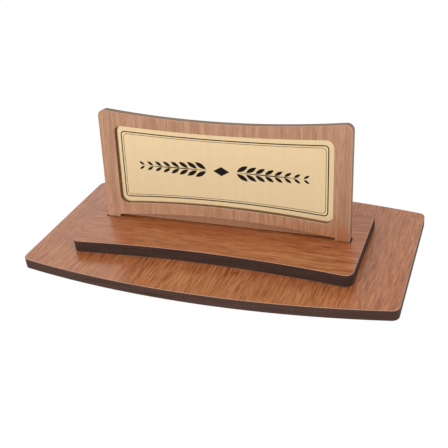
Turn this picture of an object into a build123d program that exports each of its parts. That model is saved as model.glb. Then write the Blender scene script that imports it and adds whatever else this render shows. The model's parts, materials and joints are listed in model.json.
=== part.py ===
# Desk name plate of veneered fibreboard: a bowed base board, a hollow-sided step glued on it,
# and a framed panel that leans back with its two feet plugged into slots of the step.
# Millimetres and degrees. The origin is the middle of the underside, +X is to the reader's right,
# +Y is to the back and +Z is up.
from build123d import *
import os
from math import cos, radians, sin

# Sheet stock
veneer = 0.5
base_core = 6.1
step_core = 7.4
frame_core = 2.0
backing_core = 1.8
name_sheet_core = 0.5
gold_film = 0.1
adhesive = 0.1
arris = 0.2

# Panel, measured up its lean from the top of the step
panel_width = 171.4
panel_shoulder = 76.0
panel_top_dip = 5.2
panel_corner_radius = 4.4
panel_lean = 8.0
foot_width = 9.4
arch_spring = 1.8
arch_rise = 4.8

# Window of the front frame
frame_stile = 11.1
frame_top_rail = 10.4
frame_bottom_rail = 8.7
window_top_dip = 2.4
window_bottom_rise = 3.7
window_corner_radius = 4.9

# Step board, with the panel set back from its front corners
step_side_margin = 9.3
step_side_depth = 73.3
step_hollow = 5.7
step_corner_radius = 5.0
step_rear_corner_radius = 1.0
panel_setback = 36.9

# Base board, which shows all round the step
base_side_margin = 30.0
base_front_margin = 15.0
base_rear_margin = 23.2
base_bow = 11.9
base_corner_radius = 5.0

# Clearances
slot_end_clearance = 0.8
slot_fit = 0.15
seat_clearance = 0.1
name_sheet_clearance = 0.2

# Board sizes that follow
base_thickness = base_core + 2 * veneer
step_thickness = step_core + 2 * veneer
frame_thickness = frame_core + 2 * veneer
backing_thickness = backing_core + 2 * veneer
panel_thickness = frame_thickness + backing_thickness
step_width = panel_width + 2 * step_side_margin
base_width = step_width + 2 * base_side_margin
base_side_depth = base_front_margin + step_side_depth + base_rear_margin
step_top = base_thickness + step_thickness
step_y = (base_front_margin - base_rear_margin) / 2

# The foot is cut square, so the lean brings its rear lower edge down to the base
lean_sin = sin(radians(panel_lean))
lean_cos = cos(radians(panel_lean))
foot_depth = (step_thickness - seat_clearance - panel_thickness * lean_sin) / lean_cos

# The backing is straight between its feet, and its rear lower edge just clears the step
backing_rise = (panel_thickness * lean_sin + seat_clearance) / lean_cos

# The slot has upright walls: the panel leans between its front lower and its rear upper edge
panel_y = panel_setback - step_side_depth / 2
slot_front = panel_y - foot_depth * lean_sin - slot_fit
slot_rear = panel_y + panel_thickness / lean_cos + slot_fit
slot_length = slot_fit + foot_width + slot_end_clearance
slot_x = panel_width / 2 + slot_end_clearance - slot_length / 2


def bowed_outline(width, low, high, low_bow, high_bow, low_radius, high_radius):
    """A four-sided outline with straight sides and arched lower and upper edges.

    A positive bow swells its edge outwards, and a negative one hollows it.
    """
    side = width / 2
    with BuildSketch() as outline:
        with BuildLine():
            ThreePointArc((-side, low), (0, low - low_bow), (side, low))
            Line((side, low), (side, high))
            ThreePointArc((side, high), (0, high + high_bow), (-side, high))
            Line((-side, high), (-side, low))
        make_face()
        fillet(outline.vertices().group_by(Axis.Y)[0], low_radius)
        fillet(outline.vertices().group_by(Axis.Y)[-1], high_radius)
    return outline.sketch


def lay_sheets(face, sheets):
    """Lay sheets on a plane one after another, each a piece of its own.

    The arris of a board's outer face is eased: the first face of its sheet is 0, and the last is -1.
    """
    for node, outline, thickness, eased in sheets:
        with BuildPart() as sheet:
            with BuildSketch(face):
                add(outline)
            extrude(amount=thickness)
            if eased is not None:
                outer_face = sheet.faces().sort_by(Axis(face.origin, face.z_dir))[eased]
                chamfer(outer_face.edges(), arris)
        sheet.part.label = node
        export_step(sheet.part, f"parts/{node}.step")
        face = face.offset(thickness)


# Outlines of the base and the slotted step
base_outline = bowed_outline(
    base_width,
    -base_side_depth / 2,
    base_side_depth / 2,
    base_bow,
    base_bow,
    base_corner_radius,
    base_corner_radius,
)

with BuildSketch() as step_outline:
    add(bowed_outline(
        step_width,
        -step_side_depth / 2,
        step_side_depth / 2,
        -step_hollow,
        -step_hollow,
        step_corner_radius,
        step_rear_corner_radius,
    ))
    slot_y = (slot_front + slot_rear) / 2
    with Locations((-slot_x, slot_y), (slot_x, slot_y)):
        Rectangle(slot_length, slot_rear - slot_front, mode=Mode.SUBTRACT)

# Outline of the backing, with its dipped top and two feet
outer = panel_width / 2
inner = outer - foot_width
with BuildSketch() as backing_outline:
    with BuildLine():
        ThreePointArc(
            (outer, panel_shoulder), (0, panel_shoulder - panel_top_dip), (-outer, panel_shoulder)
        )
        Polyline(
            (-outer, panel_shoulder),
            (-outer, -foot_depth),
            (-inner, -foot_depth),
            (-inner, backing_rise),
            (inner, backing_rise),
            (inner, -foot_depth),
            (outer, -foot_depth),
            (outer, panel_shoulder),
        )
    make_face()
    fillet(backing_outline.vertices().group_by(Axis.Y)[-1], panel_corner_radius)

# Window of the frame, and the name sheet that drops into it
window = bowed_outline(
    panel_width - 2 * frame_stile,
    arch_spring + frame_bottom_rail,
    panel_shoulder - frame_top_rail,
    -window_bottom_rise,
    -window_top_dip,
    window_corner_radius,
    window_corner_radius,
)

# The frame follows the backing, with an arch cut between its feet
with BuildSketch() as frame_outline:
    add(backing_outline.sketch)
    add(window, mode=Mode.SUBTRACT)
    with BuildLine():
        ThreePointArc(
            (-inner, arch_spring), (0, arch_spring + arch_rise), (inner, arch_spring)
        )
        Polyline(
            (inner, arch_spring), (inner, backing_rise), (-inner, backing_rise), (-inner, arch_spring)
        )
    make_face(mode=Mode.SUBTRACT)

with BuildSketch() as name_sheet_outline:
    add(window)
    offset(amount=-name_sheet_clearance, mode=Mode.REPLACE)

# The boards lie flat, and the panel is built up from its rear face towards the reader
os.makedirs("parts", exist_ok=True)
step_seat = Plane((0, step_y, base_thickness))
panel_rear = Plane(
    origin=(0, step_y + panel_y, step_top), x_dir=(1, 0, 0), z_dir=(0, -lean_cos, lean_sin)
).offset(-panel_thickness)

lay_sheets(Plane.XY, [
    ("base_bottom_veneer", base_outline, veneer, None),
    ("base_core", base_outline, base_core, None),
    ("base_top_veneer", base_outline, veneer, -1),
])
lay_sheets(step_seat, [
    ("step_bottom_veneer", step_outline.sketch, veneer, None),
    ("step_core", step_outline.sketch, step_core, None),
    ("step_top_veneer", step_outline.sketch, veneer, -1),
])
lay_sheets(panel_rear, [
    ("backing_rear_veneer", backing_outline.sketch, veneer, 0),
    ("backing_core", backing_outline.sketch, backing_core, None),
    ("backing_front_veneer", backing_outline.sketch, veneer, None),
    ("frame_back_veneer", frame_outline.sketch, veneer, None),
    ("frame_core", frame_outline.sketch, frame_core, None),
    ("frame_front_veneer", frame_outline.sketch, veneer, -1),
])
lay_sheets(panel_rear.offset(backing_thickness), [
    ("name_sheet_adhesive", name_sheet_outline.sketch, adhesive, None),
    ("name_sheet_core", name_sheet_outline.sketch, name_sheet_core, None),
    ("name_sheet_face", name_sheet_outline.sketch, gold_film, None),
])
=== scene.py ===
"""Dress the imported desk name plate: veneered boards with charred cut edges, a satin gold name
sheet with an engraved ornament, and a white studio stage. Metres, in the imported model's frame."""
import json
import math
from functools import wraps

import bmesh
import bpy
from bpy.props import FloatProperty, FloatVectorProperty, IntProperty, PointerProperty
from mathutils import Matrix, Vector


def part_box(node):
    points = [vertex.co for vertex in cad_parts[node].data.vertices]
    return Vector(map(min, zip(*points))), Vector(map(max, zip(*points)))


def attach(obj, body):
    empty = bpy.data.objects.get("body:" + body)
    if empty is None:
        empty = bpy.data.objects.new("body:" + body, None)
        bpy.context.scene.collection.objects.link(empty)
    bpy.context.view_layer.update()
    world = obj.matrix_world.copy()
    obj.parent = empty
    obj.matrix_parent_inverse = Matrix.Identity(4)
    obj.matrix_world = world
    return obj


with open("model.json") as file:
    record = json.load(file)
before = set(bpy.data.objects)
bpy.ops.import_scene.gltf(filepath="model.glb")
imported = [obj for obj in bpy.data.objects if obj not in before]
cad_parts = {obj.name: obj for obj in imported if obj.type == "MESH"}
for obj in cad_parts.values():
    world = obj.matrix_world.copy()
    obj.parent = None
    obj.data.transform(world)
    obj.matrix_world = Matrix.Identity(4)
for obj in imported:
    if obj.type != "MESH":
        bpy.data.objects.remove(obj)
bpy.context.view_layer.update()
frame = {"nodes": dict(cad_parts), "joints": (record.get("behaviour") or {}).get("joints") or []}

bl_info = {
    "name": "Desk Name Plate",
    "version": (1, 0, 0),
    "blender": (4, 5, 0),
    "location": "3D View > Sidebar > Name Plate",
    "description": "Wood finishes, engraved name sheet and studio stage of a desk name plate",
    "category": "Object",
}

MM = 0.001

# Directions of the object. The panel lifts out along its own lean, and faces the reader
RIGHT = Vector((1, 0, 0))
BACK = Vector((0, 1, 0))
UP = Vector((0, 0, 1))
PANEL_UP = Vector(frame["joints"][0]["axis"]).normalized()
PANEL_OUT = RIGHT.cross(PANEL_UP)

# Directions of each board: along the grain, across it, and through the board
BASE_AXES = (BACK, -RIGHT, UP)
STEP_AXES = (RIGHT, BACK, UP)
PANEL_AXES = (PANEL_UP, -RIGHT, PANEL_OUT)

# Where in the log each board's leaf lies, along the grain and across it
BASE_LEAF = (0.02, 0.09, 0)
STEP_LEAF = (0.54, 0.99, 0)
FRAME_LEAF = (0.57, 0.66, 0)
BACKING_LEAF = (0.48, 0.66, 0)

# Layers of the grain, in lengths and widths of a streak, or in widths of a band
STRAY_LENGTH, STRAY_WIDTH = 4.0, 3.0
BAND_LENGTH = 9.0
HAIR_LENGTH, HAIR_WIDTH = 1.6, 0.5
FLECK_LENGTH, FLECK_WIDTH = 0.6, 0.7
PATCH_LENGTH, PATCH_WIDTH = 8.0, 5.0

# What the layers add to the tone, and how much livelier a patch can be than the rest
STREAK_WEIGHT, BAND_WEIGHT, HAIR_WEIGHT = 1.5, 0.5, 0.8
PATCH_LIFE = 1.6

# Flecks turn to pores over this range. A pore hides this share of the wood
PORE_RANGE = (0.10, 0.24)
PORE_SHARE = 0.45

# How strong the relief of the streaks is beside that of the pores
STREAK_RELIEF = 0.4

# How squarely a surface faces the way through the board: a cut side little, a face almost fully
CUT_RANGE = (0.35, 0.55)
FACE_RANGE = (0.82, 0.94)

# The charred edge, in thicknesses of a fibre layer, and what its marks add to the tone
FIBRE_LENGTH = 70.0
BEAM_HEIGHT = 14.0
FIBRE_WEIGHT, BEAM_WEIGHT = 2.6, 0.5

# The gold's tone, and what its fine brush lines and broad bands add to it
GOLD_TONE = 0.98
LINE_WEIGHT, SHEEN_WEIGHT = 0.10, 0.08

# Matt finishes of the name sheet
MOTTLE_WEAR = 0.15
MOTTLE_WEAR_PATCHES = 4
MOTTLE_SPECULAR = 0.1
ENGRAVING_LIGHTENS = 2.2

# The ornament: corner points and point spacing of the border, points of a leaf, and the twig's
# start in lozenges, its width and its stalks in leaf widths, and how much its leaves shrink
CORNER_POINTS = 6
BORDER_SPACING = 0.8 * MM
LEAF_POINTS = 20
TWIG_START = 1.7
STEM_WIDTH = 0.24
STALK_LENGTH = 0.42
LEAF_SHRINK = 0.5
LOZENGE_FLATNESS = 0.62
MERGE_DISTANCE = 0.002 * MM

# The stage. Each lamp has its place, the point it aims at, its width, its height and its radiance
FLOOR_REACH = 4.0
FLOOR_GAP = 0.1 * MM
SENSOR_WIDTH = 36
LAMPS = {
    "front_left_softbox": ((-0.50, -0.79, 0.35), (0, 0, 0.06), 0.64, 0.42, 3.7),
    "upper_right_softbox": ((1.05, -0.25, 0.95), (0, 0, 0.02), 0.85, 0.85, 1.7),
    "rear_left_softbox": ((-0.62, 0.80, 0.55), (0, 0, 0.02), 0.8, 0.6, 0.35),
}

# Kinds of node tree, and the inputs of the trees that follow the window of the frame
SHADER = "ShaderNodeTree"
GEOMETRY = "GeometryNodeTree"
WINDOW = ("Sheet Width", "Sheet Height", "Top Dip", "Bottom Rise")


def length(name, description, default):
    """A size in metres that the sidebar shows."""
    return FloatProperty(
        name=name, description=description, default=default, min=0, unit="LENGTH", precision=5
    )


def angle(name, description, degrees):
    """An angle that the sidebar shows."""
    return FloatProperty(
        name=name, description=description, default=math.radians(degrees), subtype="ANGLE"
    )


def colour(name, description, default):
    """A scene-linear colour that the sidebar shows."""
    return FloatVectorProperty(
        name=name,
        description=description,
        default=(*default, 1),
        size=4,
        min=0,
        max=1,
        subtype="COLOR",
    )


def number(name, description, default):
    """A plain number that the sidebar shows."""
    return FloatProperty(name=name, description=description, default=default, min=0)


def share(name, description, default):
    """A number from nothing to all that the sidebar shows."""
    return FloatProperty(
        name=name, description=description, default=default, min=0, max=1, subtype="FACTOR"
    )


class VeneerSettings(bpy.types.PropertyGroup):
    """The grain and the satin lacquer that all veneers share"""

    pore: colour("Pore", "Colour of the open pores", (0.15, 0.035, 0.008))
    streak_width: length("Streak Width", "Width of a streak across the grain", 1.0 * MM)
    streak_length: length("Streak Length", "Length of a streak along the grain", 14 * MM)
    ribbon_width: length("Ribbon Width", "Width of a ribbon stripe", 2.8 * MM)
    ribbon_length: length("Ribbon Length", "Length of a ribbon stripe", 70 * MM)
    band_width: length("Band Width", "Width of the broad bands that the streaks lie in", 10 * MM)
    wander: length("Wander", "How far the grain strays to its sides", 3 * MM)
    relief: length("Relief", "Depth of the grain's relief", 0.02 * MM)
    lacquer: colour("Lacquer", "Colour of what the lacquer reflects", (1.0, 0.98, 0.80))
    roughness: share("Lacquer Roughness", "Roughness of the satin lacquer", 0.27)
    wear: share("Wear", "How much handling varies the roughness", 0.10)
    wear_patch: length("Wear Patch", "Size of a patch that handling has polished", 18 * MM)


# What can differ from board to board: the kind of setting, its name, its meaning and its default
BOARD_FIELDS = {
    "light_wood": (colour, "Light Wood", "Colour between the dark streaks", (0.570, 0.216, 0.086)),
    "dark_wood": (colour, "Dark Wood", "Colour of the dark streaks", (0.258, 0.043, 0.003)),
    "tone": (share, "Tone", "Mean share of the light wood", 0.5),
    "contrast": (number, "Contrast", "Contrast of the whole grain", 1.0),
    "ribbons": (number, "Ribbons", "Weight of the ribbon stripes in the grain", 0.4),
    "gloss": (number, "Gloss", "Index of refraction of the lacquer", 1.6),
    "char": (colour, "Char", "Colour of the cut edge's darkest layers", (0.129, 0.060, 0.026)),
    "ash": (colour, "Ash", "Colour of the cut edge's palest layers", (0.292, 0.152, 0.072)),
    "edge_gloss": (share, "Edge Gloss", "Specular level of the cut edge", 0.12),
}


def board_finish(**own):
    """Class decorator: give a group the settings of a board, with this board's own defaults.

    A setting whose own default is None is left out.
    """

    def add_settings(cls):
        for field, (kind, name, description, default) in BOARD_FIELDS.items():
            value = own.get(field, default)
            if value is not None:
                cls.__annotations__[field] = kind(name, description, value)
        return cls

    return add_settings


@board_finish(tone=0.57, contrast=1.4, char=(0.046, 0.022, 0.0155), ash=(0.104, 0.056, 0.042))
class BaseFinish(bpy.types.PropertyGroup):
    """The base, whose thick board chars dark"""


@board_finish(contrast=1.1, char=(0.034, 0.0175, 0.0135), ash=(0.084, 0.047, 0.038))
class StepFinish(bpy.types.PropertyGroup):
    """The step, whose thick board chars darkest"""


@board_finish(
    light_wood=(0.49, 0.20, 0.096),
    dark_wood=(0.31, 0.08, 0.009),
    contrast=1.2,
    ribbons=1.8,
    gloss=2.2,
    edge_gloss=0.4,
)
class FrameFinish(bpy.types.PropertyGroup):
    """The frame of the panel, in a paler leaf under a glossier lacquer"""


@board_finish(
    light_wood=(0.49, 0.20, 0.096),
    dark_wood=(0.31, 0.08, 0.009),
    contrast=0.6,
    ribbons=1.8,
    edge_gloss=0.55,
)
class BackingFinish(bpy.types.PropertyGroup):
    """The rear and the edges of the panel's backing, in the paler leaf"""


@board_finish(
    light_wood=(0.40, 0.172, 0.088),
    dark_wood=(0.32, 0.126, 0.052),
    contrast=0.5,
    gloss=1.7,
    edge_gloss=None,
)
class ShelteredFinish(bpy.types.PropertyGroup):
    """The front of the backing where the frame's arch lays it open, in a darker, greyer copy of the
    backing's leaf with calm grain: painted shade under the arch
    """


class CutEdgeSettings(bpy.types.PropertyGroup):
    """The charred edges that the laser leaves on all boards, and the pale colour painted on the
    eased arris as its highlight
    """

    # The arris colour is a painted highlight: a pale line along the eased arris between face and
    # edge
    arris: colour("Arris", "Colour of the eased arris between face and edge", (0.62, 0.36, 0.24))
    arris_share: share("Arris Share", "How far the arris takes its own colour", 0.8)
    layer: length("Layer", "Thickness of a fibre layer in the edge", 0.55 * MM)
    relief: length("Edge Relief", "Depth of the charred edge's relief", 0.04 * MM)
    roughness: share("Edge Roughness", "Roughness of the charred edge", 0.62)
    wear: share("Edge Wear", "How much handling varies the roughness", 0.12)
    wear_patch: length("Edge Wear Patch", "Size of a patch that handling has polished", 9 * MM)


class NameSheetSettings(bpy.types.PropertyGroup):
    """The gold sheet in the window, and the ornament engraved in it"""

    gold: colour("Gold", "Colour of the metallised film", (0.815, 0.608, 0.352))
    metallic: share("Metallic", "How far the film shines as a metal does", 0.9)
    gold_roughness: share("Gold Roughness", "Roughness of the satin film", 0.18)
    wear: share("Gold Wear", "How much handling varies the roughness", 0.06)
    wear_patch: length("Gold Wear Patch", "Size of a patch that handling has polished", 25 * MM)
    line_width: length("Brush Width", "Width of a brush line in the film", 0.15 * MM)
    line_length: length("Brush Length", "Length of a brush line in the film", 30 * MM)
    line_relief: length("Brush Relief", "Depth of a brush line in the film", 0.001 * MM)
    sheen_width: length("Sheen Width", "Width of a broad band in the film", 5 * MM)
    sheen_length: length("Sheen Length", "Length of a broad band in the film", 60 * MM)
    engraving: colour("Engraving", "Colour of the engraved dark core", (0.008, 0.006, 0.006))
    core_patch: colour("Core Patch", "Colour of the core's paler patches", (0.03, 0.027, 0.025))
    adhesive: colour("Adhesive", "Colour of the adhesive", (0.68, 0.64, 0.55))
    adhesive_patch: colour("Adhesive Patch", "Colour of its paler patches", (0.82, 0.79, 0.72))
    top_dip: length("Top Dip", "How far the window's top edge dips in the middle", 2.4 * MM)
    bottom_rise: length("Bottom Rise", "How far its bottom edge rises in the middle", 3.7 * MM)
    border_inset: length("Border Inset", "From the edge of the sheet to the border", 3.6 * MM)
    border_gap: length("Border Gap", "From the border line to the hairline inside it", 1.5 * MM)
    border_radius: length("Border Radius", "Corner radius of the border", 2.6 * MM)
    border_width: length("Border Width", "Width of the border line", 0.7 * MM)
    hairline_width: length("Hairline Width", "Width of the hairline inside the border", 0.3 * MM)
    leaf_pairs: IntProperty(
        name="Leaf Pairs", description="Pairs of leaves on each twig", default=8, min=1
    )
    twig_length: length("Twig Length", "Length of each twig", 45 * MM)
    leaf_length: length("Leaf Length", "Length of the largest leaf", 9 * MM)
    leaf_width: length("Leaf Width", "Width of the largest leaf", 3.3 * MM)
    leaf_spread: angle("Leaf Spread", "Angle between a leaf and its twig", 33)
    lozenge: length("Lozenge", "Half the width of the lozenge between the twigs", 5.6 * MM)
    engraving_lift: length("Engraving Lift", "How far the marks stand over the film", 0.02 * MM)


class StageSettings(bpy.types.PropertyGroup):
    """The camera, the floor and the white surroundings"""

    azimuth: angle("Azimuth", "Camera's turn to the reader's right", 22.071)
    elevation: angle("Elevation", "Camera's height over the horizon", 30.937)
    roll: angle("Roll", "Camera's turn about its line of sight", -5.210)
    distance: length("Distance", "From the camera to the point it looks at", 493.25 * MM)
    target: FloatVectorProperty(
        name="Target",
        description="Point the camera looks at",
        default=(10.76 * MM, 0, 11.47 * MM),
        unit="LENGTH",
    )
    lens: FloatProperty(name="Lens", description="Focal length", default=59.346, unit="CAMERA")
    shift: FloatVectorProperty(
        name="Shift", description="Shift of the picture's centre", default=(-0.0357, 0.0179), size=2
    )
    surround: share("Surround", "Strength of the white surroundings as a light", 0.66)
    floor: colour("Floor", "Colour of the floor under the lamps", (0.88, 0.88, 0.88))
    whiteness: share("Whiteness", "How far the seen floor is plain white and not lit", 0.945)
    floor_white: number("Floor White", "Strength of the floor's white to the camera", 1.018)
    # Painted shade in reflections: the floor's white that gloss mirrors is weaker near the object
    # than far off
    mirrored_near: number("Mirrored Near", "Strength of the white that gloss mirrors near", 0.94)
    mirrored_far: number("Mirrored Far", "Strength of the white that gloss mirrors far off", 1.10)
    near_reach: length("Near Reach", "How far out the floor mirrors as near", 120 * MM)
    far_reach: length("Far Reach", "From where on the floor mirrors as far off", 600 * MM)


class NamePlateSettings(bpy.types.PropertyGroup):
    """All settings of the name plate"""

    veneer: PointerProperty(type=VeneerSettings)
    cut_edge: PointerProperty(type=CutEdgeSettings)
    base: PointerProperty(type=BaseFinish)
    step: PointerProperty(type=StepFinish)
    frame: PointerProperty(type=FrameFinish)
    backing: PointerProperty(type=BackingFinish)
    sheltered: PointerProperty(type=ShelteredFinish)
    name_sheet: PointerProperty(type=NameSheetSettings)
    stage: PointerProperty(type=StageSettings)


class TreeBuilder:
    """Adds nodes to a tree. What feeds an input is a socket to link, or a constant to set."""

    def __init__(self, tree):
        self.tree = tree

    def feed(self, node, inputs):
        for key, value in inputs.items():
            if isinstance(value, bpy.types.NodeSocket):
                self.tree.links.new(value, node.inputs[key])
            else:
                node.inputs[key].default_value = value

    def add(self, kind, inputs=None, **settings):
        node = self.tree.nodes.new(kind)
        for name, value in settings.items():
            setattr(node, name, value)
        self.feed(node, inputs or {})
        return node

    def group(self, tree, inputs):
        """The outputs of a node group that is placed in the tree."""
        kind = "GeometryNodeGroup" if tree.bl_idname == GEOMETRY else "ShaderNodeGroup"
        return self.add(kind, inputs, node_tree=tree).outputs

    def math(self, operation, *values, clamp=False):
        inputs = dict(enumerate(values))
        return self.add("ShaderNodeMath", inputs, operation=operation, use_clamp=clamp).outputs[0]

    def times(self, a, b):
        return self.math("MULTIPLY", a, b)

    def over(self, a, b):
        return self.math("DIVIDE", a, b)

    def scale(self, vector, factor):
        inputs = {0: vector, "Scale": factor}
        return self.add("ShaderNodeVectorMath", inputs, operation="SCALE").outputs[0]

    # A Mix node has an A and a B for each kind of value, so its sockets are found by number
    def mix_colour(self, share_of_b, a, b):
        inputs = {0: share_of_b, 6: a, 7: b}
        return self.add("ShaderNodeMix", inputs, data_type="RGBA").outputs[2]

    def mix_value(self, share_of_b, a, b):
        inputs = {0: share_of_b, 2: a, 3: b}
        return self.add("ShaderNodeMix", inputs, data_type="FLOAT").outputs[0]

    def mix_shader(self, share_of_b, a, b):
        inputs = {0: share_of_b, 1: a.outputs[0], 2: b.outputs[0]}
        return self.add("ShaderNodeMixShader", inputs).outputs[0]

    def combine(self, x, y, z):
        return self.add("ShaderNodeCombineXYZ", {0: x, 1: y, 2: z}).outputs[0]

    def split(self, vector):
        return self.add("ShaderNodeSeparateXYZ", {0: vector}).outputs

    def noise(self, vector, detail=2.0, roughness=0.5):
        """Noise about zero, with features one unit of the vector wide."""
        texture = self.add(
            "ShaderNodeTexNoise",
            {"Vector": vector, "Scale": 1.0, "Detail": detail, "Roughness": roughness},
            noise_dimensions="3D",
        )
        return self.math("SUBTRACT", texture.outputs["Fac"], 0.5)

    def step(self, value, low, high):
        """A smooth rise from nothing at low to all at high."""
        inputs = {"Value": value, "From Min": low, "From Max": high, "To Min": 0.0, "To Max": 1.0}
        node = self.add("ShaderNodeMapRange", inputs, interpolation_type="SMOOTHSTEP")
        return node.outputs[0]

    def move(self, geometry, **how):
        """Geometry moved, turned or scaled."""
        return self.add("GeometryNodeTransform", {"Geometry": geometry, **how}).outputs[0]

    def join(self, *pieces):
        node = self.add("GeometryNodeJoinGeometry")
        for piece in pieces:
            self.tree.links.new(piece, node.inputs[0])
        return node.outputs[0]


def floats(*names):
    """Sockets for numbers, by name."""
    return dict.fromkeys(names, "Float")


def socket_values(settings, *names):
    """Settings as the inputs of a node group that have the same names."""
    return {name: getattr(settings, name.lower().replace(" ", "_")) for name in names}


def node_group(name, kind, inputs, outputs):
    """Decorator: a function that fills a node group becomes one that gives the group, made once.

    The function gets the builder, the inputs of the group and the materials of the call, and
    returns what feeds the outputs.
    """

    def decorate(fill):
        @wraps(fill)
        def give(*materials):
            group = bpy.data.node_groups.get(name)
            if group:
                return group
            group = bpy.data.node_groups.new(name, kind)
            for in_out, sockets in (("INPUT", inputs), ("OUTPUT", outputs)):
                for socket, value in sockets.items():
                    socket_type = "NodeSocket" + value
                    group.interface.new_socket(socket, in_out=in_out, socket_type=socket_type)
            build = TreeBuilder(group)
            given = build.add("NodeGroupInput").outputs
            build.add("NodeGroupOutput", fill(build, given, *materials))
            return group

        return give

    return decorate


@node_group(
    "Veneer Grain",
    SHADER,
    {
        "Board": "Vector",
        **floats("Streak Width", "Streak Length", "Ribbon Width", "Ribbon Length", "Band Width"),
        **floats("Wander", "Ribbons", "Tone", "Contrast"),
        "Light Wood": "Color",
        "Dark Wood": "Color",
        "Pore": "Color",
    },
    {"Wood": "Color", "Relief": "Float"},
)
def veneer_grain_group(build, given):
    """Wood colour and relief at a board's coordinates: along the grain, across it and through."""
    along, across, through = build.split(given["Board"])
    streak = given["Streak Width"]
    stretch = given["Streak Length"]
    band = given["Band Width"]
    sheet = build.over(through, streak)

    # The grain strays slowly to its sides
    slow_along = build.over(along, build.times(stretch, STRAY_LENGTH))
    slow_across = build.over(across, build.times(band, STRAY_WIDTH))
    stray = build.noise(build.combine(slow_along, slow_across, sheet), detail=1.0)
    across = build.math("ADD", across, build.times(stray, given["Wander"]))

    def layer(drawn_out, width, detail=1.0, roughness=0.5):
        """Noise drawn out along the grain."""
        u = build.over(along, drawn_out)
        v = build.over(across, width)
        return build.noise(build.combine(u, v, sheet), detail, roughness)

    bands = layer(build.times(stretch, BAND_LENGTH), band, detail=2.0)
    ribbons = layer(given["Ribbon Length"], given["Ribbon Width"])
    streaks = layer(stretch, streak, detail=2.0, roughness=0.6)
    hairs = layer(build.times(stretch, HAIR_LENGTH), build.times(streak, HAIR_WIDTH))
    flecks = layer(build.times(stretch, FLECK_LENGTH), build.times(streak, FLECK_WIDTH), detail=0.0)
    pores = build.step(flecks, *PORE_RANGE)

    spread = build.times(streaks, STREAK_WEIGHT)
    spread = build.math("MULTIPLY_ADD", bands, BAND_WEIGHT, spread)
    spread = build.math("MULTIPLY_ADD", hairs, HAIR_WEIGHT, spread)
    spread = build.math("MULTIPLY_ADD", ribbons, given["Ribbons"], spread)

    # Lively and calm patches take turns across the leaf
    patches = layer(build.times(stretch, PATCH_LENGTH), build.times(band, PATCH_WIDTH))
    life = build.math("MULTIPLY_ADD", patches, PATCH_LIFE, 1.0)
    contrast = build.times(given["Contrast"], life)
    tone = build.math("MULTIPLY_ADD", spread, contrast, given["Tone"], clamp=True)
    wood = build.mix_colour(tone, given["Dark Wood"], given["Light Wood"])
    wood = build.mix_colour(build.times(pores, PORE_SHARE), wood, given["Pore"])
    relief = build.math("SUBTRACT", build.times(streaks, STREAK_RELIEF), pores)
    return {"Wood": wood, "Relief": relief}


@node_group(
    "Board Sides", SHADER, {"Normal": "Vector", "Through": "Vector"}, floats("Cut", "Arris")
)
def board_sides_group(build, given):
    """Masks of a board's cut sides and eased arris, from the normal and the way through it."""
    ways = {0: given["Normal"], 1: given["Through"]}
    dot = build.add("ShaderNodeVectorMath", ways, operation="DOT_PRODUCT").outputs["Value"]
    facing = build.math("ABSOLUTE", dot)
    cut = build.math("SUBTRACT", 1.0, build.step(facing, *CUT_RANGE))
    face = build.step(facing, *FACE_RANGE)
    arris = build.math("SUBTRACT", build.math("SUBTRACT", 1.0, cut), face, clamp=True)
    return {"Cut": cut, "Arris": arris}


@node_group(
    "Charred Edge",
    SHADER,
    {"Board": "Vector", "Layer": "Float", "Char": "Color", "Ash": "Color"},
    {"Edge": "Color", "Relief": "Float"},
)
def charred_edge_group(build, given):
    """Colour and relief of a laser-cut edge: fibre layers along it, and upright beam marks."""
    along, across, through = build.split(given["Board"])
    layer = given["Layer"]
    drawn_out = build.times(layer, FIBRE_LENGTH)
    fibre = build.combine(
        build.over(along, drawn_out), build.over(across, drawn_out), build.over(through, layer)
    )
    layers = build.noise(fibre, roughness=0.6)
    height = build.times(layer, BEAM_HEIGHT)
    beam = build.combine(
        build.over(along, layer), build.over(across, layer), build.over(through, height)
    )
    marks = build.noise(beam, detail=1.0)
    tone = build.math("MULTIPLY_ADD", layers, FIBRE_WEIGHT, 0.5)
    tone = build.math("MULTIPLY_ADD", marks, BEAM_WEIGHT, tone, clamp=True)
    edge = build.mix_colour(tone, given["Char"], given["Ash"])
    return {"Edge": edge, "Relief": build.math("ADD", layers, marks)}


@node_group(
    "Handling",
    SHADER,
    {"Board": "Vector", **floats("Roughness", "Spread", "Patch")},
    {"Roughness": "Float"},
)
def handling_group(build, given):
    """Roughness that varies a little where hands and cloths have polished the finish."""
    patch = build.scale(given["Board"], build.over(1.0, given["Patch"]))
    worn = build.noise(patch, detail=3.0, roughness=0.6)
    rough = build.math("MULTIPLY_ADD", worn, given["Spread"], given["Roughness"], clamp=True)
    return {"Roughness": rough}


def handled(build, coordinates, roughness, spread, patch):
    """A roughness that handling varies, at a board's coordinates."""
    inputs = {"Board": coordinates, "Roughness": roughness, "Spread": spread, "Patch": patch}
    return build.group(handling_group(), inputs)["Roughness"]


def fresh_tree(owner):
    """The builder of a material's or world's node tree, emptied."""
    owner.use_nodes = True
    owner.node_tree.nodes.clear()
    return TreeBuilder(owner.node_tree)


def new_material(name):
    """A node material, its builder, its Principled shader and its texture coordinates."""
    material = bpy.data.materials.new(name)
    build = fresh_tree(material)
    output = build.add("ShaderNodeOutputMaterial")
    shader = build.add("ShaderNodeBsdfPrincipled")
    build.feed(output, {"Surface": shader.outputs[0]})
    place = build.add("ShaderNodeTexCoord").outputs
    return material, build, shader, place


def board_coordinates(build, place, axes, offset=(0, 0, 0)):
    """Object coordinates turned to run along the grain, across it and through the board."""
    turn = Matrix(axes).to_euler()
    inputs = {"Vector": place["Object"], "Rotation": turn, "Location": offset}
    return build.add("ShaderNodeMapping", inputs).outputs[0]


def finish_shader(build, shader, base, roughness, relief, depth):
    """Feed a shader its colour, roughness and bump."""
    bump = build.add("ShaderNodeBump", {"Strength": 1.0, "Distance": depth, "Height": relief})
    build.feed(shader, {"Base Color": base, "Roughness": roughness, "Normal": bump.outputs[0]})


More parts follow.
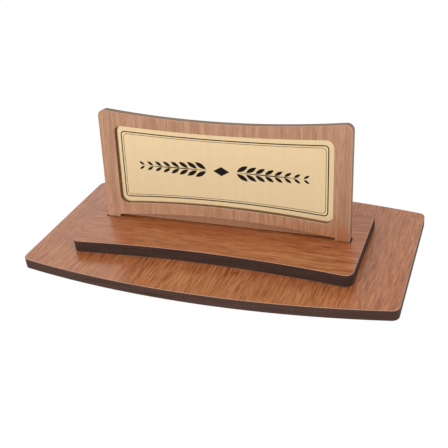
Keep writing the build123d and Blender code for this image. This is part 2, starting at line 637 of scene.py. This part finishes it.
def edge_sockets(build, coordinates, cut_edge, board):
    """The charred edge's colour and relief at a board's coordinates."""
    inputs = {"Board": coordinates, "Layer": cut_edge.layer, **socket_values(board, "Char", "Ash")}
    return build.group(charred_edge_group(), inputs)


def veneer_material(name, settings, board, axes, leaf):
    """Lacquered veneer from its own place in the log, with cut sides charred as the core's are."""
    veneer = settings.veneer
    cut_edge = settings.cut_edge
    material, build, shader, place = new_material(name)
    coordinates = board_coordinates(build, place, axes, leaf)
    sizes = ("Streak Width", "Streak Length", "Ribbon Width", "Ribbon Length", "Band Width")
    look = ("Ribbons", "Tone", "Contrast", "Light Wood", "Dark Wood")
    grain = build.group(
        veneer_grain_group(),
        {
            "Board": coordinates,
            **socket_values(veneer, *sizes, "Wander", "Pore"),
            **socket_values(board, *look),
        },
    )
    sides = build.group(board_sides_group(), {"Normal": place["Normal"], "Through": axes[2]})
    edge = edge_sockets(build, coordinates, cut_edge, board)
    lacquer = handled(build, coordinates, veneer.roughness, veneer.wear, veneer.wear_patch)
    # Painted highlight: the eased arris takes a pale colour in place of the wood
    arris = build.times(sides["Arris"], cut_edge.arris_share)
    wood = build.mix_colour(arris, grain["Wood"], cut_edge.arris)
    base = build.mix_colour(sides["Cut"], wood, edge["Edge"])
    roughness = build.mix_value(sides["Cut"], lacquer, cut_edge.roughness)
    relief = build.mix_value(sides["Cut"], grain["Relief"], edge["Relief"])
    finish_shader(build, shader, base, roughness, relief, veneer.relief)
    build.feed(shader, {"IOR": board.gloss, "Specular Tint": veneer.lacquer})
    return material


def core_material(name, settings, board, axes):
    """Charred fibreboard core."""
    cut_edge = settings.cut_edge
    material, build, shader, place = new_material(name)
    coordinates = board_coordinates(build, place, axes)
    edge = edge_sockets(build, coordinates, cut_edge, board)
    roughness = handled(build, coordinates, cut_edge.roughness, cut_edge.wear, cut_edge.wear_patch)
    finish_shader(build, shader, edge["Edge"], roughness, edge["Relief"], cut_edge.relief)
    build.feed(shader, {"Specular IOR Level": board.edge_gloss})
    return material


def gold_film_material(sheet):
    """Satin metallised film with faint upright brush lines."""
    material, build, shader, place = new_material("gold_film_finish")
    coordinates = board_coordinates(build, place, PANEL_AXES)
    up, across, through = build.split(coordinates)

    def brushed(drawn_out, width):
        """Noise drawn out up the sheet."""
        u = build.over(up, drawn_out)
        v = build.over(across, width)
        return build.noise(build.combine(u, v, through))

    lines = brushed(sheet.line_length, sheet.line_width)
    bands = brushed(sheet.sheen_length, sheet.sheen_width)
    tone = build.math("MULTIPLY_ADD", lines, LINE_WEIGHT, GOLD_TONE)
    tone = build.math("MULTIPLY_ADD", bands, SHEEN_WEIGHT, tone)
    base = build.scale(sheet.gold[:3], tone)
    roughness = handled(build, coordinates, sheet.gold_roughness, sheet.wear, sheet.wear_patch)
    finish_shader(build, shader, base, roughness, lines, sheet.line_relief)
    build.feed(shader, {"Metallic": sheet.metallic})
    return material


def mottled_material(name, dark, light, roughness, patch, depth):
    """A matt finish of the name sheet that varies between two colours in small patches."""
    material, build, shader, place = new_material(name)
    coordinates = board_coordinates(build, place, PANEL_AXES)
    mottle = build.noise(build.scale(coordinates, 1 / patch), detail=3.0, roughness=0.6)
    base = build.mix_colour(build.math("ADD", mottle, 0.5), dark, light)
    rough = handled(build, coordinates, roughness, MOTTLE_WEAR, MOTTLE_WEAR_PATCHES * patch)
    finish_shader(build, shader, base, rough, mottle, depth)
    build.feed(shader, {"Specular IOR Level": MOTTLE_SPECULAR})
    return material


def engraving_material(sheet):
    """The dark core of the name sheet where the engraving bares it, made once."""
    name = "engraving_finish"
    dark = sheet.engraving
    light = [ENGRAVING_LIGHTENS * part for part in dark[:3]] + [1]
    return bpy.data.materials.get(name) or mottled_material(
        name, dark, light, roughness=0.8, patch=0.3 * MM, depth=0.004 * MM
    )


def dress(nodes, material):
    """Give CAD nodes a finish."""
    for node in nodes:
        frame["nodes"][node].material_slots[0].material = material


def finish_board(settings, name, veneers, axes, leaf):
    """Give the veneers and the core of a board their finishes."""
    board = getattr(settings, name)
    dress(veneers, veneer_material(f"{name}_veneer_finish", settings, board, axes, leaf))
    dress([f"{name}_core"], core_material(f"{name}_core_finish", settings, board, axes))


def sheet_place():
    """The middle of the name sheet's front face as a matrix, and the sheet's width and height."""
    low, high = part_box("name_sheet_face")
    span = high - low
    rise = PANEL_UP.z
    lean = PANEL_UP.y

    # The sheet leans, so its box is deeper than the sheet is thick, and not as high as it is long
    thickness = span.y * rise - span.z * lean
    thickness /= rise * rise - lean * lean
    height = (span.z - thickness * lean) / rise
    centre = (low + high) / 2 + PANEL_OUT * thickness / 2
    place = Matrix((RIGHT, PANEL_UP, PANEL_OUT)).transposed().to_4x4()
    place.translation = centre
    return place, span.x, height


@node_group(
    "Follow Window",
    GEOMETRY,
    {"Geometry": "Geometry", **floats(*WINDOW)},
    {"Geometry": "Geometry"},
)
def follow_window_group(build, given):
    """Bend flat marks to run parallel to the window's dipped top and arched bottom."""
    x, y, _ = build.split(build.add("GeometryNodeInputPosition").outputs[0])
    reach = build.over(build.times(x, 2.0), given["Sheet Width"])
    crown = build.math("SUBTRACT", 1.0, build.times(reach, reach))
    height_share = build.math("ADD", build.over(y, given["Sheet Height"]), 0.5)
    fall = build.times(given["Top Dip"], -1.0)
    bend = build.mix_value(height_share, given["Bottom Rise"], fall)
    offset = build.combine(0.0, build.times(crown, bend), 0.0)
    bent = build.add("GeometryNodeSetPosition", {"Geometry": given["Geometry"], "Offset": offset})
    return {"Geometry": bent.outputs[0]}


def follow_window(build, given, geometry):
    """Bend marks by the sizes of the window that a tree is given."""
    sizes = {name: given[name] for name in WINDOW}
    return build.group(follow_window_group(), {"Geometry": geometry, **sizes})[0]


def finished(build, geometry, material):
    """The end of a tree: real geometry with its material."""
    real = build.add("GeometryNodeRealizeInstances", {"Geometry": geometry})
    inputs = {"Geometry": real.outputs[0], "Material": material}
    return {"Geometry": build.add("GeometryNodeSetMaterial", inputs).outputs[0]}


@node_group(
    "Border Line",
    GEOMETRY,
    floats(*WINDOW, "Inset", "Radius", "Line Width", "Lift"),
    {"Geometry": "Geometry"},
)
def border_line_group(build, given):
    """One closed line round the sheet at an inset, as a thin flat strip."""
    both = build.times(given["Inset"], 2.0)
    oblong = build.add(
        "GeometryNodeCurvePrimitiveQuadrilateral",
        {
            "Width": build.math("SUBTRACT", given["Sheet Width"], both),
            "Height": build.math("SUBTRACT", given["Sheet Height"], both),
        },
    )
    rounded = build.add(
        "GeometryNodeFilletCurve",
        {"Curve": oblong.outputs[0], "Radius": given["Radius"], "Count": CORNER_POINTS},
        mode="POLY",
    )
    points = build.add(
        "GeometryNodeResampleCurve",
        {"Curve": rounded.outputs[0], "Length": BORDER_SPACING},
        mode="LENGTH",
    )
    bent = follow_window(build, given, points.outputs[0])
    flat = build.add("GeometryNodeSetCurveNormal", {"Curve": bent}, mode="Z_UP")
    section = build.add(
        "GeometryNodeCurvePrimitiveQuadrilateral",
        {"Width": given["Line Width"], "Height": build.times(given["Lift"], 2.0)},
    )
    strip = build.add(
        "GeometryNodeCurveToMesh", {"Curve": flat.outputs[0], "Profile Curve": section.outputs[0]}
    )
    return {"Geometry": strip.outputs[0]}


@node_group(
    "Engraved Border",
    GEOMETRY,
    {
        **floats(*WINDOW, "Engraving Lift", "Border Radius", "Border Inset", "Border Gap"),
        **floats("Border Width", "Hairline Width"),
    },
    {"Geometry": "Geometry"},
)
def border_tree(build, given, material):
    """A border line with a hairline inside it."""

    def line(inset, width):
        sizes = {name: given[name] for name in WINDOW}
        sizes |= {"Radius": given["Border Radius"], "Lift": given["Engraving Lift"]}
        return build.group(border_line_group(), {**sizes, "Inset": inset, "Line Width": width})[0]

    outer = line(given["Border Inset"], given["Border Width"])
    inner_inset = build.math("ADD", given["Border Inset"], given["Border Gap"])
    inner = line(inner_inset, given["Hairline Width"])
    return finished(build, build.join(inner, outer), material)


@node_group("Leaf", GEOMETRY, floats("Length", "Width"), {"Geometry": "Geometry"})
def leaf_group(build, given):
    """A flat leaf, pointed at both ends, from the origin along X."""
    ring = build.add(
        "GeometryNodeCurvePrimitiveCircle",
        {"Resolution": LEAF_POINTS, "Radius": 0.5},
        mode="RADIUS",
    )
    x, y, _ = build.split(build.add("GeometryNodeInputPosition").outputs[0])
    along = build.times(build.math("ADD", x, 0.5), given["Length"])
    swell = build.times(y, build.math("ABSOLUTE", y))
    aside = build.times(build.times(swell, 2.0), given["Width"])
    shaped = build.add(
        "GeometryNodeSetPosition",
        {"Geometry": ring.outputs[0], "Position": build.combine(along, aside, 0.0)},
    )
    filled = build.add("GeometryNodeFillCurve", {"Curve": shaped.outputs[0]}, mode="NGONS")
    return {"Geometry": filled.outputs[0]}


@node_group(
    "Engraved Twigs",
    GEOMETRY,
    {
        **floats(*WINDOW, "Engraving Lift", "Twig Length", "Leaf Length", "Leaf Width"),
        **floats("Leaf Spread", "Lozenge"),
        "Leaf Pairs": "Int",
    },
    {"Geometry": "Geometry"},
)
def twig_tree(build, given, material):
    """Two leafy twigs that run out from a lozenge in the middle of the sheet."""
    start = build.times(given["Lozenge"], TWIG_START)
    end = build.math("ADD", start, given["Twig Length"])
    first, last = (build.combine(x, 0.0, 0.0) for x in (start, end))

    # The twig is one long thin leaf, and its leaves stand off it in pairs that shrink to the tip
    stem_width = build.times(given["Leaf Width"], STEM_WIDTH)
    stem = build.group(leaf_group(), {"Length": given["Twig Length"], "Width": stem_width})[0]
    pieces = [build.move(stem, Translation=first)]
    line = build.add("GeometryNodeCurvePrimitiveLine", {"Start": first, "End": last})
    stations = build.add(
        "GeometryNodeResampleCurve",
        {"Curve": line.outputs[0], "Count": given["Leaf Pairs"]},
        mode="COUNT",
    )
    tipward = build.add("GeometryNodeSplineParameter").outputs["Factor"]
    shrink = build.math("MULTIPLY_ADD", tipward, -LEAF_SHRINK, 1.0)
    blade = build.group(
        leaf_group(), {"Length": given["Leaf Length"], "Width": given["Leaf Width"]}
    )[0]
    stalk = build.times(given["Leaf Width"], STALK_LENGTH)
    blade = build.move(blade, Translation=build.combine(stalk, 0.0, 0.0))
    for side in (1.0, -1.0):
        leaves = build.add(
            "GeometryNodeInstanceOnPoints",
            {
                "Points": stations.outputs[0],
                "Instance": blade,
                "Rotation": build.combine(0.0, 0.0, build.times(given["Leaf Spread"], side)),
                "Scale": build.combine(shrink, shrink, 1.0),
            },
        )
        pieces.append(leaves.outputs[0])
    real = build.add("GeometryNodeRealizeInstances", {"Geometry": build.join(*pieces)})
    twig = real.outputs[0]
    other = build.move(twig, Rotation=(0.0, 0.0, math.pi))

    diamond = build.add("GeometryNodeMeshCircle", {"Vertices": 4, "Radius": 1.0}, fill_type="NGON")
    half_height = build.times(given["Lozenge"], LOZENGE_FLATNESS)
    lozenge = build.move(
        diamond.outputs[0], Scale=build.combine(given["Lozenge"], half_height, 1.0)
    )
    bent = follow_window(build, given, build.join(lozenge, other, twig))

    # Thin slabs that stand over the film and reach as far into it
    sunk = build.times(given["Engraving Lift"], -1.0)
    below = build.move(bent, Translation=build.combine(0.0, 0.0, sunk))
    raised = build.add(
        "GeometryNodeExtrudeMesh",
        {
            "Mesh": below,
            "Offset": (0.0, 0.0, 1.0),
            "Offset Scale": build.times(given["Engraving Lift"], 2.0),
            "Individual": False,
        },
        mode="FACES",
    )
    underside = build.add("GeometryNodeFlipFaces", {"Mesh": below})
    return finished(build, build.join(underside.outputs[0], raised.outputs[0]), material)


def new_object(name, data):
    """A new object in the scene."""
    thing = bpy.data.objects.new(name, data)
    bpy.context.scene.collection.objects.link(thing)
    return thing


def grow(name, tree, sizes, settings, place):
    """Run a tree once, keep its result as a plain closed mesh, and put that mesh in its place.

    An input takes the size of its name, or else the setting of its name.
    """
    piece = new_object(name, bpy.data.meshes.new(name))
    modifier = piece.modifiers.new(name, "NODES")
    modifier.node_group = tree
    for item in tree.interface.items_tree:
        if item.in_out == "INPUT":
            known = sizes if item.name in sizes else socket_values(settings, item.name)
            modifier[item.identifier] = known[item.name]
    evaluated = piece.evaluated_get(bpy.context.evaluated_depsgraph_get())
    mesh = bpy.data.meshes.new_from_object(evaluated)
    piece.modifiers.remove(modifier)
    piece.data = mesh
    if not mesh.polygons:
        raise RuntimeError(f"{name} came out empty")
    shape = bmesh.new()
    shape.from_mesh(mesh)
    bmesh.ops.remove_doubles(shape, verts=shape.verts, dist=MERGE_DISTANCE)
    bmesh.ops.recalc_face_normals(shape, faces=shape.faces)
    shape.to_mesh(mesh)
    shape.free()
    mesh.transform(place)
    return piece


def engraved_piece(name, make_tree, sheet):
    """An engraved mark on the name sheet, which moves with the panel."""
    place, width, height = sheet_place()
    sizes = {"Sheet Width": width, "Sheet Height": height}
    piece = grow(name, make_tree(engraving_material(sheet)), sizes, sheet, place)
    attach(piece, "panel")


class NAMEPLATE_OT_finish_base(bpy.types.Operator):
    """Veneer the base board with the grain from front to back, and char its edges"""

    bl_idname = "nameplate.finish_base"
    bl_label = "Finish Base"

    def execute(self, context):
        veneers = ("base_bottom_veneer", "base_top_veneer")
        finish_board(context.scene.name_plate, "base", veneers, BASE_AXES, BASE_LEAF)
        return {"FINISHED"}


class NAMEPLATE_OT_finish_step(bpy.types.Operator):
    """Veneer the step board with the grain from side to side, and char its edges"""

    bl_idname = "nameplate.finish_step"
    bl_label = "Finish Step"

    def execute(self, context):
        veneers = ("step_bottom_veneer", "step_top_veneer")
        finish_board(context.scene.name_plate, "step", veneers, STEP_AXES, STEP_LEAF)
        return {"FINISHED"}


class NAMEPLATE_OT_finish_panel(bpy.types.Operator):
    """Veneer the frame and the backing of the panel with the grain upright, and char their edges"""

    bl_idname = "nameplate.finish_panel"
    bl_label = "Finish Panel"

    def execute(self, context):
        settings = context.scene.name_plate
        veneers = ("frame_back_veneer", "frame_front_veneer")
        finish_board(settings, "frame", veneers, PANEL_AXES, FRAME_LEAF)
        finish_board(settings, "backing", ["backing_rear_veneer"], PANEL_AXES, BACKING_LEAF)
        # The front of the backing gets a darker, greyer copy of the leaf: painted shade under the
        # frame's arch
        sheltered = veneer_material(
            "sheltered_veneer_finish", settings, settings.sheltered, PANEL_AXES, BACKING_LEAF
        )
        dress(["backing_front_veneer"], sheltered)
        return {"FINISHED"}


class NAMEPLATE_OT_finish_name_sheet(bpy.types.Operator):
    """Finish the gold film, the dark core and the adhesive of the name sheet"""

    bl_idname = "nameplate.finish_name_sheet"
    bl_label = "Finish Name Sheet"

    def execute(self, context):
        sheet = context.scene.name_plate.name_sheet
        core = mottled_material(
            "dark_core_finish",
            sheet.engraving,
            sheet.core_patch,
            roughness=0.6,
            patch=0.4 * MM,
            depth=0.005 * MM,
        )
        adhesive = mottled_material(
            "adhesive_finish",
            sheet.adhesive,
            sheet.adhesive_patch,
            roughness=0.6,
            patch=1.5 * MM,
            depth=0.01 * MM,
        )
        dress(["name_sheet_face"], gold_film_material(sheet))
        dress(["name_sheet_core"], core)
        dress(["name_sheet_adhesive"], adhesive)
        return {"FINISHED"}


class NAMEPLATE_OT_engrave_border(bpy.types.Operator):
    """Engrave a border line and a hairline round the name sheet"""

    bl_idname = "nameplate.engrave_border"
    bl_label = "Engrave Border"

    def execute(self, context):
        engraved_piece("engraved_border", border_tree, context.scene.name_plate.name_sheet)
        return {"FINISHED"}


class NAMEPLATE_OT_engrave_twigs(bpy.types.Operator):
    """Engrave two leafy twigs and a lozenge in the middle of the name sheet"""

    bl_idname = "nameplate.engrave_twigs"
    bl_label = "Engrave Twigs"

    def execute(self, context):
        engraved_piece("engraved_twigs", twig_tree, context.scene.name_plate.name_sheet)
        return {"FINISHED"}


def seen_directly(build):
    """A mask of the rays that show the background: from the camera, off gloss or through glass."""
    path = build.add("ShaderNodeLightPath").outputs
    seen = build.math("MAXIMUM", path["Is Camera Ray"], path["Is Glossy Ray"])
    return build.math("MAXIMUM", seen, path["Is Transmission Ray"])


def white_world(stage):
    """White surroundings: plain white where they are seen, and a little weaker as a light."""
    world = bpy.data.worlds.new("white_surround")
    build = fresh_tree(world)
    white = (1, 1, 1, 1)
    light = build.add("ShaderNodeBackground", {"Color": white, "Strength": stage.surround})
    seen = build.add("ShaderNodeBackground", {"Color": white, "Strength": 1.0})
    mixed = build.mix_shader(seen_directly(build), light, seen)
    build.add("ShaderNodeOutputWorld", {"Surface": mixed})
    bpy.context.scene.world = world


def pale_floor(stage):
    """A pale floor that keeps a faint shadow where it is seen, with painted shade near the object
    in the white that gloss mirrors.
    """
    mesh = bpy.data.meshes.new("floor")
    signs = ((-1, -1), (1, -1), (1, 1), (-1, 1))
    corners = [(x * FLOOR_REACH, y * FLOOR_REACH, -FLOOR_GAP) for x, y in signs]
    mesh.from_pydata(corners, [], [(0, 1, 2, 3)])
    floor = new_object("floor", mesh)
    material = bpy.data.materials.new("pale_floor")
    build = fresh_tree(material)
    lit = build.add("ShaderNodeBsdfDiffuse", {"Color": stage.floor})

    # Painted shade: gloss mirrors the floor's white a little darker near the object than far off,
    # where it is a little over plain white
    place = build.add("ShaderNodeTexCoord").outputs["Object"]
    away = build.add("ShaderNodeVectorMath", {0: place}, operation="LENGTH").outputs["Value"]
    farness = build.step(away, stage.near_reach, stage.far_reach)
    mirrored = build.mix_value(farness, stage.mirrored_near, stage.mirrored_far)
    to_camera = build.add("ShaderNodeLightPath").outputs["Is Camera Ray"]
    strength = build.mix_value(to_camera, mirrored, stage.floor_white)
    white = build.add("ShaderNodeEmission", {"Color": (1, 1, 1, 1), "Strength": strength})

    share_of_white = build.times(seen_directly(build), stage.whiteness)
    mixed = build.mix_shader(share_of_white, lit, white)
    build.add("ShaderNodeOutputMaterial", {"Surface": mixed})
    mesh.materials.append(material)


def softbox(name, place, aim, width, height, radiance):
    """A soft rectangular lamp whose face has a given radiance."""
    lamp = bpy.data.lights.new(name, "AREA")
    lamp.shape = "RECTANGLE"
    lamp.size = width
    lamp.size_y = height
    lamp.energy = radiance * math.pi * width * height
    box = new_object(name, lamp)
    box.location = place
    box.rotation_euler = (Vector(aim) - Vector(place)).to_track_quat("-Z", "Y").to_euler()
    box.visible_camera = False


def studio_camera(stage):
    """The camera at the photograph's viewing angle."""
    view = bpy.data.cameras.new("camera")
    view.sensor_width = SENSOR_WIDTH
    view.lens = stage.lens
    view.shift_x, view.shift_y = stage.shift
    camera = new_object("camera", view)
    flat = math.cos(stage.elevation)
    right = math.sin(stage.azimuth) * flat
    front = math.cos(stage.azimuth) * flat
    toward = Vector((right, -front, math.sin(stage.elevation)))
    camera.location = Vector(stage.target) + toward * stage.distance
    turn = (-toward).to_track_quat("-Z", "Y").to_matrix() @ Matrix.Rotation(stage.roll, 3, "Z")
    camera.rotation_euler = turn.to_euler()
    bpy.context.scene.camera = camera


class NAMEPLATE_OT_lay_stage(bpy.types.Operator):
    """Lay the pale floor, light the white surroundings and place the camera"""

    bl_idname = "nameplate.lay_stage"
    bl_label = "Lay Stage"

    def execute(self, context):
        stage = context.scene.name_plate.stage
        context.scene.view_settings.view_transform = "Standard"
        white_world(stage)
        pale_floor(stage)
        for name, lamp in LAMPS.items():
            softbox(name, *lamp)
        studio_camera(stage)
        return {"FINISHED"}


class NAMEPLATE_PT_sidebar(bpy.types.Panel):
    """Settings and steps of the name plate"""

    bl_idname = "NAMEPLATE_PT_sidebar"
    bl_label = "Name Plate"
    bl_space_type = "VIEW_3D"
    bl_region_type = "UI"
    bl_category = "Name Plate"

    def draw(self, context):
        settings = context.scene.name_plate
        for key in NamePlateSettings.__annotations__:
            group = getattr(settings, key)
            box = self.layout.box()
            box.label(text=key.replace("_", " ").title())
            for prop in group.bl_rna.properties:
                if prop.identifier not in ("rna_type", "name"):
                    box.prop(group, prop.identifier)
        for operator in OPERATORS:
            self.layout.operator(operator.bl_idname)


OPERATORS = (
    NAMEPLATE_OT_finish_base,
    NAMEPLATE_OT_finish_step,
    NAMEPLATE_OT_finish_panel,
    NAMEPLATE_OT_finish_name_sheet,
    NAMEPLATE_OT_engrave_border,
    NAMEPLATE_OT_engrave_twigs,
    NAMEPLATE_OT_lay_stage,
)
CLASSES = (
    VeneerSettings,
    CutEdgeSettings,
    BaseFinish,
    StepFinish,
    FrameFinish,
    BackingFinish,
    ShelteredFinish,
    NameSheetSettings,
    StageSettings,
    NamePlateSettings,
    *OPERATORS,
    NAMEPLATE_PT_sidebar,
)


def register():
    for cls in CLASSES:
        bpy.utils.register_class(cls)
    bpy.types.Scene.name_plate = PointerProperty(type=NamePlateSettings)


def unregister():
    del bpy.types.Scene.name_plate
    for cls in reversed(CLASSES):
        bpy.utils.unregister_class(cls)


def main():
    register()
    bpy.ops.nameplate.finish_base()
    bpy.ops.nameplate.finish_step()
    bpy.ops.nameplate.finish_panel()
    bpy.ops.nameplate.finish_name_sheet()
    bpy.ops.nameplate.engrave_border()
    bpy.ops.nameplate.engrave_twigs()
    bpy.ops.nameplate.lay_stage()


if __name__ == "__main__":
    main()
